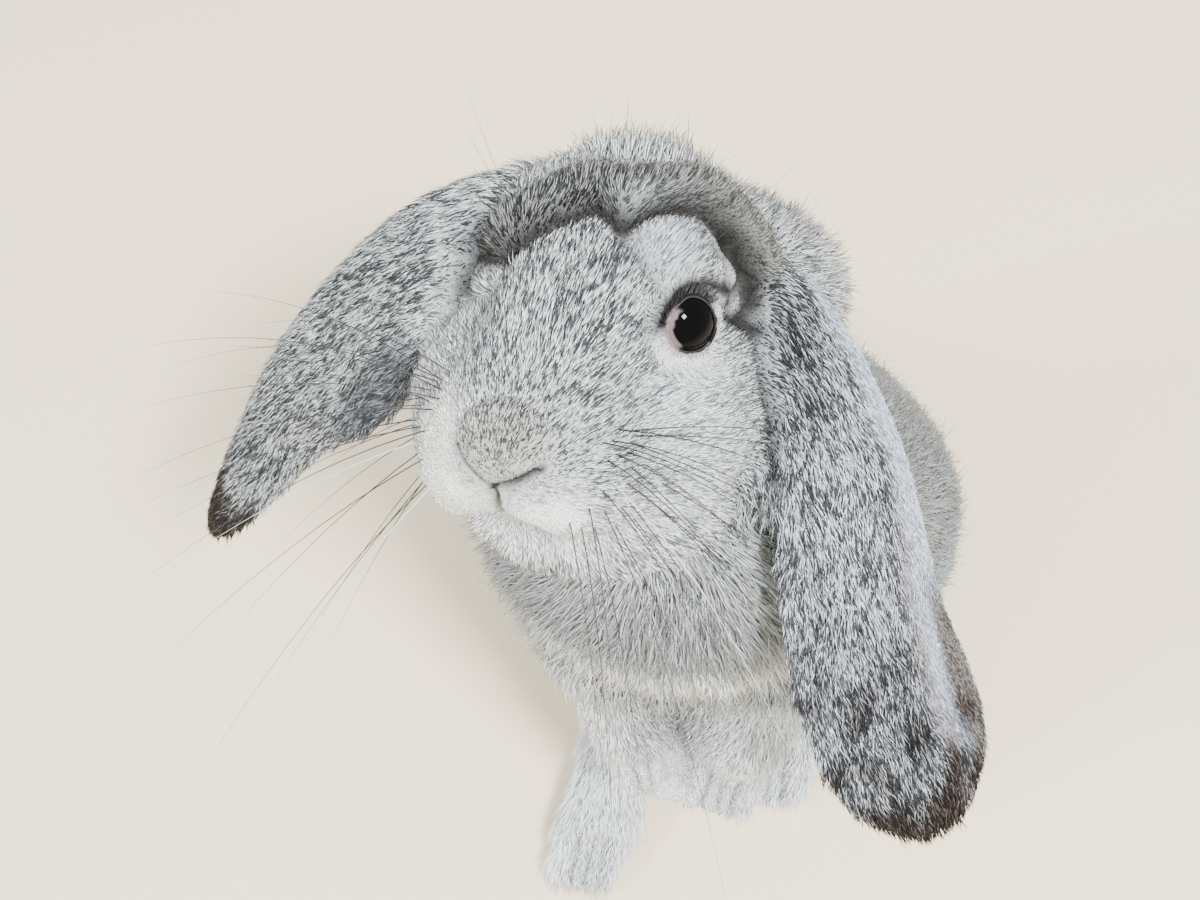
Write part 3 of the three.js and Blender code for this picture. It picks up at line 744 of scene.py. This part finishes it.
    for side in SIDES.values():
        offsets = skin.points - eye_frame(side)[0]
        reach = np.linalg.norm(offsets, axis=1)
        angle, edge, ahead, high = lid_angles(offsets, side)
        rim = (angle - edge) * (reach < 14 * MM) + 90 * (reach >= 14 * MM)
        skin.crowd *= soft_step(-1, 3, rim)
        skin.length *= 0.35 + 0.65 * soft_step(2, 40, rim)
        skin.width *= 0.6 + 0.4 * soft_step(2, 40, rim)
        radial = unit(offsets) - skin.normals * (unit(offsets) * skin.normals).sum(1)[:, None]
        _, axis, _, _ = eye_frame(side)
        outward = unit(unit(offsets) - axis * (unit(offsets) @ axis)[:, None])
        outward -= skin.normals * (outward * skin.normals).sum(1)[:, None]
        pull = (1 - soft_step(4, 34, rim))[:, None]
        skin.flow = unit(skin.flow * (1 - pull) + unit(outward) * pull)
        lower = 0.7 * (1 - soft_step(8, 28, rim)) * soft_step(0.3, -0.2, high - 0.3 * soft_step(0, 0.8, -ahead))
        light += lower[:, None] * (grey(238, 238, 232) - light)
        dark_share *= 1 - 0.8 * lower
        upper = (1 - soft_step(*UPPER_LID[side], rim)) * soft_step(0.0, 0.5, high)
        light += upper[:, None] * (grey(16, 15, 15) - light)
        dark += upper[:, None] * (grey(8, 8, 8) - dark)
        inside = (1 - soft_step(0, 4, rim))[:, None]
        lining = grey(26, 24, 23) + soft_step(0.6, 0.9, ahead + 0.3 * high)[:, None] * (
            grey(128, 112, 110) - grey(26, 24, 23))
        light += inside * (lining - light)
        dark += inside * (lining * 0.7 - dark)

    band = skin.share[:, PARTS.index("trunk")] * bump_at(
        (skin.points - ORIGIN) / MM, (4, -52, 163), (60, 24, 8))
    light += band[:, None] * (grey(255, 255, 253) - light)
    dark += band[:, None] * (grey(210, 211, 210) - dark)
    skin.light, skin.dark, skin.dark_share = light, dark, dark_share
    ticked = [PARTS.index(name) for name in ("head", "ear_left", "ear_right")]
    skin.contrast = 0.1 + 0.9 * skin.share[:, ticked].sum(1)


# ---------------------------------------------------------------- tufts

CLUMP = 2.6 * MM          # across, for hairs that lean together
CLUMP_PULL = 0.20         # of a tuft's length
ROOT_SINK = 0.5 * MM
TICK_STRETCH = 0.4       # how far those places are drawn out along the hair
TICK = 0.42 * MM           # across, for hairs of one shade
TICK_TOGETHER = 0.66      # the share of hairs that follow their neighbours' shade
BEND_AT = 0.45            # of a tuft's length
FLOOR_GAP = 0.2 * MM      # hairs that meet the floor lie on it


def clump_leans(points, size):
    """One random lean for all the roots in each little cell of space."""
    cell = np.floor(points / size).astype(np.int64)
    key = cell[:, 0] * 73856093 ^ cell[:, 1] * 19349663 ^ cell[:, 2] * 83492791
    leans = np.stack([((key * odd) % 9973) / 9973 for odd in (7919, 104729, 15485863)], axis=1)
    return leans * 2 - 1


def grow(name, skin, faces, material):
    """Covers some of the skin's faces with tufts: each a thin bent spindle of six faces."""
    triangles = skin.triangles[faces]
    corners = skin.points[triangles]
    area = np.linalg.norm(np.cross(corners[:, 1] - corners[:, 0],
                                   corners[:, 2] - corners[:, 0]), axis=1) / 2
    heap = np.cumsum(area * skin.crowd[triangles].mean(1))
    count = int(heap[-1])
    pieces = max(1, math.ceil(count / TUFTS_PER_PIECE))
    chosen = np.searchsorted(heap, (np.arange(count) + rng.random(count)) / count * heap[-1])
    chosen = np.minimum(chosen, len(faces) - 1)
    first, second = rng.random((2, count))
    over = first + second > 1
    first[over], second[over] = 1 - first[over], 1 - second[over]
    weights = np.stack([1 - first - second, first, second], axis=1)
    uv = unwrapped(skin.points, triangles)

    def mixed(values):
        picked = values[triangles[chosen]]
        return (picked * (weights[..., None] if values.ndim > 1 else weights)).sum(1)

    root, up = mixed(skin.points), unit(mixed(skin.normals))
    along = unit(mixed(skin.flow))
    aside = unit(np.cross(up, along))
    sleek = 1 - 0.4 * mixed(skin.is_head)
    swing = np.radians(sleek * (rng.normal(0, 11, count) + 9 * wavering(root, 17 * MM, 3)))[:, None]
    along, aside = (along * np.cos(swing) + aside * np.sin(swing),
                    aside * np.cos(swing) - along * np.sin(swing))
    size = rng.uniform(0.72, 1.22, count)
    stray = rng.random(count) < 0.05
    length = (mixed(skin.length) * size * np.where(stray, 1.35, 1))[:, None]
    width = (mixed(skin.width) * rng.uniform(0.8, 1.2, count) * np.where(stray, 0.6, 1))[:, None]
    lean = mixed(skin.rise) + rng.normal(0, 5, count) + np.where(stray, 8, 0)
    lean = np.radians(np.clip(lean + 5 * wavering(root, 9 * MM, 4), 7, 70))[:, None]
    knee = root + length * BEND_AT * (along * np.cos(lean) + up * np.sin(lean))
    droop = lean * 0.5
    tip = knee + length * (1 - BEND_AT) * (along * np.cos(droop) + up * np.sin(droop))
    pull = clump_leans(root, CLUMP)
    pull = (pull - up * (pull * up).sum(1)[:, None]) * sleek[:, None]
    tip = tip + pull * length * CLUMP_PULL
    knee = knee + pull * length * CLUMP_PULL * 0.4
    half = width / 2
    points = np.stack([root - up * ROOT_SINK, knee + aside * half, knee - aside * half,
                       knee + up * half * 0.8, tip], axis=1)
    points[..., 2] = np.maximum(points[..., 2], FLOOR_GAP)

    ticking = wavering(root, 5 * MM, 8) * 0.1 + wavering(root, 11 * MM, 9) * 0.08
    streak = mixed(skin.flow)
    streak = root - streak * ((root - HEAD_AT) * streak).sum(1)[:, None] * TICK_STRETCH
    ticks = (clump_leans(streak, TICK) + 1) / 2
    lot = np.where(rng.random(count) < TICK_TOGETHER, ticks[:, 0], rng.random(count))
    dark = lot < mixed(skin.dark_share) * (1 + 2 * ticking)
    light_tone, dark_tone = mixed(skin.light), mixed(skin.dark)
    shade = rng.uniform(0.88, 1.1, count) * (0.82 + 0.3 * ticks[:, 1])
    shade = 1 + (shade - 1) * mixed(skin.contrast)
    shade = (shade * (1 + 0.05 * wavering(root, 30 * MM, 10)))[:, None]
    body_tone = np.where(dark[:, None], 0.08 * light_tone + 0.92 * dark_tone, light_tone) * shade
    tip_tone = np.where(dark[:, None], dark_tone * rng.uniform(0.35, 1.0, (count, 1)),
                        light_tone * 1.08) * shade
    root_tone = body_tone * (0.88 - 0.28 * mixed(skin.contrast))[:, None]
    colours = np.stack([root_tone, body_tone, body_tone, body_tone, tip_tone], axis=1)

    spot = (uv[chosen] * weights[..., None]).sum(1)[:, None] + PATCH * np.array(
        [(-0.5, 0), (0, 0.4), (0, -0.4), (0.1, 0), (0.5, 0)])
    faces_of_one = np.array([(0, 2, 1), (0, 3, 2), (0, 1, 3), (4, 1, 2), (4, 2, 3), (4, 3, 1)])
    made = []
    for share in range(pieces):
        mine = slice(share, None, pieces)
        body = points[mine].reshape(-1, 3)
        tuft_faces = (np.arange(len(points[mine]))[:, None, None] * 5 + faces_of_one).reshape(-1, 3)
        label = name if pieces == 1 else f"{name}_{share + 1}"
        mesh = mesh_of(label, body, tuft_faces)
        paint(mesh, np.clip(colours[mine].reshape(-1, 3), 0, 1))
        layer = mesh.uv_layers.new(name="OFBake")
        layer.data.foreach_set("uv", spot[mine].reshape(-1, 2)[tuft_faces.ravel()].ravel())
        made.append(piece_of(label, mesh, material))
    return made


# ---------------------------------------------------------------- materials

def shader(name, roughness, specular=0.3):
    material = bpy.data.materials.new(name)
    material.use_nodes = True
    tree = material.node_tree
    surface = tree.nodes["Principled BSDF"]
    surface.inputs["Roughness"].default_value = roughness
    surface.inputs["Specular IOR Level"].default_value = specular
    return material, tree, surface


def coat_material():
    material, tree, surface = shader("hair", 0.72, 0.16)
    colour = tree.nodes.new("ShaderNodeAttribute")
    colour.attribute_name = "coat_colour"
    tree.links.new(colour.outputs["Color"], surface.inputs["Base Color"])
    return material


def skin_material():
    """The short under-fur: the coat's colour broken by fine streaks, with a bump of the same."""
    material, tree, surface = shader("under_fur", 0.85, 0.15)
    colour = tree.nodes.new("ShaderNodeAttribute")
    colour.attribute_name = "coat_colour"
    place = tree.nodes.new("ShaderNodeTexCoord")
    streaks = tree.nodes.new("ShaderNodeTexNoise")
    streaks.inputs["Scale"].default_value = 1500
    streaks.inputs["Detail"].default_value = 3
    range_ = tree.nodes.new("ShaderNodeMapRange")
    range_.inputs["From Min"].default_value = 0.3
    range_.inputs["From Max"].default_value = 0.7
    range_.inputs["To Min"].default_value = 0.6
    range_.inputs["To Max"].default_value = 1.1
    mix = tree.nodes.new("ShaderNodeMix")
    mix.data_type = "RGBA"
    mix.blend_type = "MULTIPLY"
    mix.inputs["Factor"].default_value = 1
    bump = tree.nodes.new("ShaderNodeBump")
    bump.inputs["Strength"].default_value = 0.6
    bump.inputs["Distance"].default_value = 0.0006
    tree.links.new(place.outputs["Object"], streaks.inputs["Vector"])
    tree.links.new(streaks.outputs["Fac"], range_.inputs["Value"])
    tree.links.new(colour.outputs["Color"], mix.inputs["A"])
    tree.links.new(range_.outputs["Result"], mix.inputs["B"])
    tree.links.new(mix.outputs["Result"], surface.inputs["Base Color"])
    tree.links.new(streaks.outputs["Fac"], bump.inputs["Height"])
    tree.links.new(bump.outputs["Normal"], surface.inputs["Normal"])
    return material


def painted_material(name, roughness, attribute, ior=1.45):
    material, tree, surface = shader(name, roughness, 0.5)
    surface.inputs["IOR"].default_value = ior
    colour = tree.nodes.new("ShaderNodeAttribute")
    colour.attribute_name = attribute
    tree.links.new(colour.outputs["Color"], surface.inputs["Base Color"])
    return material


# ---------------------------------------------------------------- pieces

def ball_points(mesh):
    points = np.empty(len(mesh.vertices) * 3)
    mesh.vertices.foreach_get("co", points)
    return points.reshape(-1, 3)


def make_eye(name, side, material):
    centre, axis, front, up = eye_frame(side)
    ball = bmesh.new()
    bmesh.ops.create_uvsphere(ball, u_segments=72, v_segments=48, radius=EYE_RADIUS)
    facing = Matrix(np.column_stack([np.cross(front, axis), front, axis])).to_4x4()
    bmesh.ops.transform(ball, matrix=Matrix.Translation(centre) @ facing, verts=ball.verts)
    bmesh.ops.recalc_face_normals(ball, faces=ball.faces)
    mesh = bpy.data.meshes.new(name)
    ball.to_mesh(mesh)
    ball.free()
    mesh.polygons.foreach_set("use_smooth", np.ones(len(mesh.polygons), bool))
    angle, edge, ahead, high = lid_angles(ball_points(mesh) - centre, side)
    pupil, iris = np.array((0.0008, 0.0008, 0.001)), np.array((0.0014, 0.0011, 0.0009))
    haw = grey(108, 95, 97)
    tone = pupil + soft_step(26, 30, angle)[:, None] * (iris - pupil)
    corner = soft_step(-9.5, -8, angle - edge) * soft_step(0.66, 0.84, ahead + 0.3 * high)
    corner *= soft_step(2, 0, angle - edge)
    tone = tone + corner[:, None] * (haw - tone)
    paint(mesh, tone, "eye_colour")
    eye = piece_of(name, mesh, material)
    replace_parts(eye, f"eye_{name.split('_')[1]}")
    return eye


def make_lids(name, side, material):
    """A soft rim round the eye's opening, dark, and pale pink at the corner towards the nose."""
    centre, axis, front, up = eye_frame(side)
    rim = bmesh.new()
    mean_angle = math.radians(48)
    reach = EYE_RADIUS + 0.15 * MM
    spot = Vector((math.sin(mean_angle) * reach, 0, math.cos(mean_angle) * reach))
    stand = Matrix.Rotation(math.pi / 2, 4, "X")
    ring = bmesh.ops.create_circle(rim, segments=10, radius=0.3 * MM,
                                   matrix=Matrix.Translation(spot) @ stand)["verts"]
    edges = list({edge for vertex in ring for edge in vertex.link_edges})
    bmesh.ops.spin(rim, geom=ring + edges, cent=(0, 0, 0), axis=(0, 0, 1), angle=math.tau,
                   steps=72, use_merge=True, use_duplicate=False)
    bmesh.ops.recalc_face_normals(rim, faces=rim.faces)
    mesh = bpy.data.meshes.new(name)
    rim.to_mesh(mesh)
    rim.free()
    local = ball_points(mesh)
    points = local[:, :1] * front + local[:, 1:2] * up + local[:, 2:] * axis
    size = np.linalg.norm(points, axis=1)
    angle, edge, ahead, high = lid_angles(points, side)
    aside = unit(front * ahead[:, None] + up * high[:, None])
    turned = np.radians(angle - math.degrees(mean_angle) + edge)[:, None]
    points = (axis * np.cos(turned) + aside * np.sin(turned)) * size[:, None] + centre
    mesh.vertices.foreach_set("co", points.astype(np.float32).ravel())
    mesh.polygons.foreach_set("use_smooth", np.ones(len(mesh.polygons), bool))
    mesh.update()
    dark, pink = grey(28, 25, 24), grey(124, 106, 104)
    corner = soft_step(0.7, 0.95, ahead + 0.25 * high)
    paint(mesh, dark + corner[:, None] * (pink - dark), "eye_colour")
    repaired = bmesh.new()
    repaired.from_mesh(mesh)
    bmesh.ops.recalc_face_normals(repaired, faces=repaired.faces)
    repaired.to_mesh(mesh)
    repaired.free()
    return piece_of(name, mesh, material)


def tapered(path, radii, sides=5):
    """A closed, tapering tube along a path: points and triangles."""
    path = np.asarray(path, float)
    ways = unit(np.gradient(path, axis=0))
    across = unit(np.cross(ways, (0.31, 0.17, 0.93)))
    over = np.cross(ways, across)
    turns = np.arange(sides) * math.tau / sides
    rings = (path[:, None] + np.asarray(radii)[:, None, None]
             * (across[:, None] * np.cos(turns)[None, :, None]
                + over[:, None] * np.sin(turns)[None, :, None]))
    points = np.vstack([path[:1], rings.reshape(-1, 3), path[-1:]])
    faces = []
    last = len(points) - 1
    for k in range(sides):
        nxt = (k + 1) % sides
        faces.append((0, 1 + nxt, 1 + k))
        for row in range(len(path) - 1):
            a, b = 1 + row * sides + k, 1 + row * sides + nxt
            faces += [(a, b, b + sides), (a, b + sides, a + sides)]
        top = 1 + (len(path) - 1) * sides
        faces.append((last, top + k, top + nxt))
    return points, np.array(faces)


def joined(name, tubes, material, slot):
    points, faces, total = [], [], 0
    for tube_points, tube_faces in tubes:
        points.append(tube_points)
        faces.append(tube_faces + total)
        total += len(tube_points)
    return piece_of(name, mesh_of(name, np.vstack(points), np.vstack(faces)), material)


def plain_material(name, colour, roughness):
    material, tree, surface = shader(name, roughness, 0.4)
    surface.inputs["Base Color"].default_value = (*colour, 1)
    return material


# Whisker roots on the left pad, in mm on the head, with the way each row leaves it.
WHISKER_ROWS = [
    ((19, -38, 5), (0.93, -0.30, 0.30), 4),
    ((20, -39, 1.5), (0.92, -0.42, 0.02), 5),
    ((19, -42.5, -1.5), (0.85, -0.58, -0.25), 5),
    ((17.5, -44.5, -5), (0.72, -0.62, -0.50), 6),
    ((14, -46, -8), (0.52, -0.62, -0.75), 5),
]
WHISKER_BEND = (0, -0.45, -0.9)      # the way they hang, on the head


LASHES = 120


def make_lashes(dice):
    """Short stiff hairs along the left upper lids."""
    centre, axis, front, up = eye_frame(1)
    hairs = []
    for _ in range(LASHES):
        turn_ = math.radians(dice.uniform(25, 165))
        aside = front * math.cos(turn_) + up * math.sin(turn_)
        _, edge, _, _ = lid_angles((aside + axis * 0.1)[None], 1)
        angle = math.radians(edge[0] + dice.uniform(2, 9))
        way = axis * math.cos(angle) + aside * math.sin(angle)
        root = centre + way * (EYE_RADIUS + 0.4 * MM)
        lean = unit(aside * 0.75 - front * 0.6 + axis * 0.25 + dice.normal(0, 0.16, 3))
        hairs.append(whisker(root, lean, dice.uniform(1.8, 4.6) * MM, 0.11 * MM, -0.1))
    return hairs


def whisker(root, way, length, thick, sag, hang=(0, 0, -1)):
    steps = np.linspace(0, 1, 11)[:, None]
    path = root + way * length * steps + np.array(hang) * sag * length * steps ** 2
    return tapered(path, thick * (1 - 0.9 * steps[:, 0]))


def make_whiskers(black, white):
    dice = np.random.default_rng(21)
    dark_ones, pale_ones = make_lashes(dice), []
    for side in SIDES.values():
        for place, way, count in WHISKER_ROWS:
            for k in range(count):
                back = 3.2 * k
                root = on_head(side * (place[0] + 0.8 * k), place[1] + back * 0.8,
                               place[2] + dice.uniform(-1, 1))
                lean = np.array((side * way[0], way[1] + 0.16 * k, way[2]))
                lean = unit(lean + dice.normal(0, 0.09, 3)) @ HEAD_TURN.T
                length = dice.uniform(40, 78) * MM
                hair = whisker(root - lean * 1.5 * MM, lean, length, 0.16 * MM,
                               dice.uniform(0.12, 0.42), HEAD_TURN @ unit(np.array(WHISKER_BEND)))
                (pale_ones if dice.random() < 0.06 else dark_ones).append(hair)
        for k in range(3):
            root = on_head(side * (17 + 2 * k), -3 + 2.5 * k, 27 - k)
            lean = unit(np.array((side * 0.5, 0.25 * k - 0.2, 0.75))) @ HEAD_TURN.T
            dark_ones.append(whisker(root, lean, (24 + 5 * k) * MM, 0.09 * MM, 0.1))
    joined("whiskers_black", dark_ones, black, "fur")
    joined("whiskers_white", pale_ones, white, "pale_fur")


def make_claws(material):
    claws = []
    for place, way, spread, count in CLAW_ROWS.values():
        way = unit(np.array(way, float))
        across = unit(np.cross(way, (0, 0, 1)))
        for k in range(count):
            share = k / (count - 1) * 2 - 1
            root = placed(*place) + across * share * spread / 2 * MM - way * abs(share) * 3 * MM
            steps = np.linspace(0, 1, 6)[:, None]
            path = root + way * 7 * MM * steps + np.array((0, 0, -1)) * 1.2 * MM * steps ** 2
            claws.append(tapered(path, 0.9 * MM * (1 - 0.85 * steps[:, 0] ** 1.5), sides=8))
    joined("claws", claws, material, "eye")


# ---------------------------------------------------------------- view and light

CAMERA_AT = (11.35, -122.5, 555)       # mm, from the spot below the chest
VIEW_AZIMUTH, VIEW_ELEVATION, VIEW_ROLL = 16.03, 70.39, -10.6
LENS, SENSOR = 45, 36


def make_camera():
    camera = bpy.data.objects.new("camera", bpy.data.cameras.new("camera"))
    bpy.context.scene.collection.objects.link(camera)
    camera.data.lens, camera.data.sensor_width = LENS, SENSOR
    camera.data.clip_start = 0.01
    facing = (Matrix.Rotation(math.radians(VIEW_AZIMUTH), 4, "Z")
              @ Matrix.Rotation(math.radians(90 - VIEW_ELEVATION), 4, "X")
              @ Matrix.Rotation(math.radians(VIEW_ROLL), 4, "Z"))
    camera.matrix_world = Matrix.Translation(placed(*CAMERA_AT)) @ facing
    bpy.context.scene.camera = camera


def make_floor_and_light():
    floor = bmesh.new()
    bmesh.ops.create_grid(floor, x_segments=1, y_segments=1, size=2.5)
    mesh = bpy.data.meshes.new("floor")
    floor.to_mesh(mesh)
    floor.free()
    ground = bpy.data.objects.new("floor", mesh)
    bpy.context.scene.collection.objects.link(ground)
    mesh.materials.append(plain_material("pale_floor", grey(228, 212, 180), 0.6))
    world = bpy.data.worlds.new("studio")
    bpy.context.scene.world = world
    world.use_nodes = True
    world.node_tree.nodes["Background"].inputs["Color"].default_value = (0.91, 0.955, 1, 1)
    world.node_tree.nodes["Background"].inputs["Strength"].default_value = 1.55
    for name, place, power, size in (("key", (0.45, -0.35, 1.3), 46, 0.22),
                                     ("fill", (-0.8, -0.3, 1.1), 15, 0.25)):
        lamp = bpy.data.lights.new(name, "AREA")
        lamp.energy, lamp.size = power, size
        light = bpy.data.objects.new(name, lamp)
        bpy.context.scene.collection.objects.link(light)
        light.location = place
        light.rotation_euler = (Vector((0, 0, 0.2)) - light.location).to_track_quat(
            "-Z", "Y").to_euler()


# ---------------------------------------------------------------- the model

make_camera()
make_floor_and_light()
skin = make_skin()
lay_coat(skin)

hair, under_fur = coat_material(), skin_material()
skin_mesh = mesh_of("skin", skin.points, skin.triangles)
paint(skin_mesh, (skin.light * 0.62 + skin.dark * 0.18) * (1.25 - 0.25 * skin.contrast)[:, None])
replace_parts(piece_of("skin", skin_mesh, under_fur), *PARTS)

face_part = skin.part[skin.triangles[:, 0]]
for number, part in enumerate(PARTS):
    grow(f"coat_{part}", skin, np.flatnonzero(face_part == number),
         hair)

wet = painted_material("wet_eye", 0.04, "eye_colour", 1.16)
lid = painted_material("lid", 0.4, "eye_colour")
for side_name, side in SIDES.items():
    make_eye(f"eyeball_{side_name}", side, wet)
    make_lids(f"lids_{side_name}", side, lid)
make_whiskers(plain_material("black_hair", grey(34, 32, 32), 0.4),
              plain_material("white_hair", grey(205, 203, 196), 0.4))
make_claws(plain_material("horn", grey(92, 80, 72), 0.35))
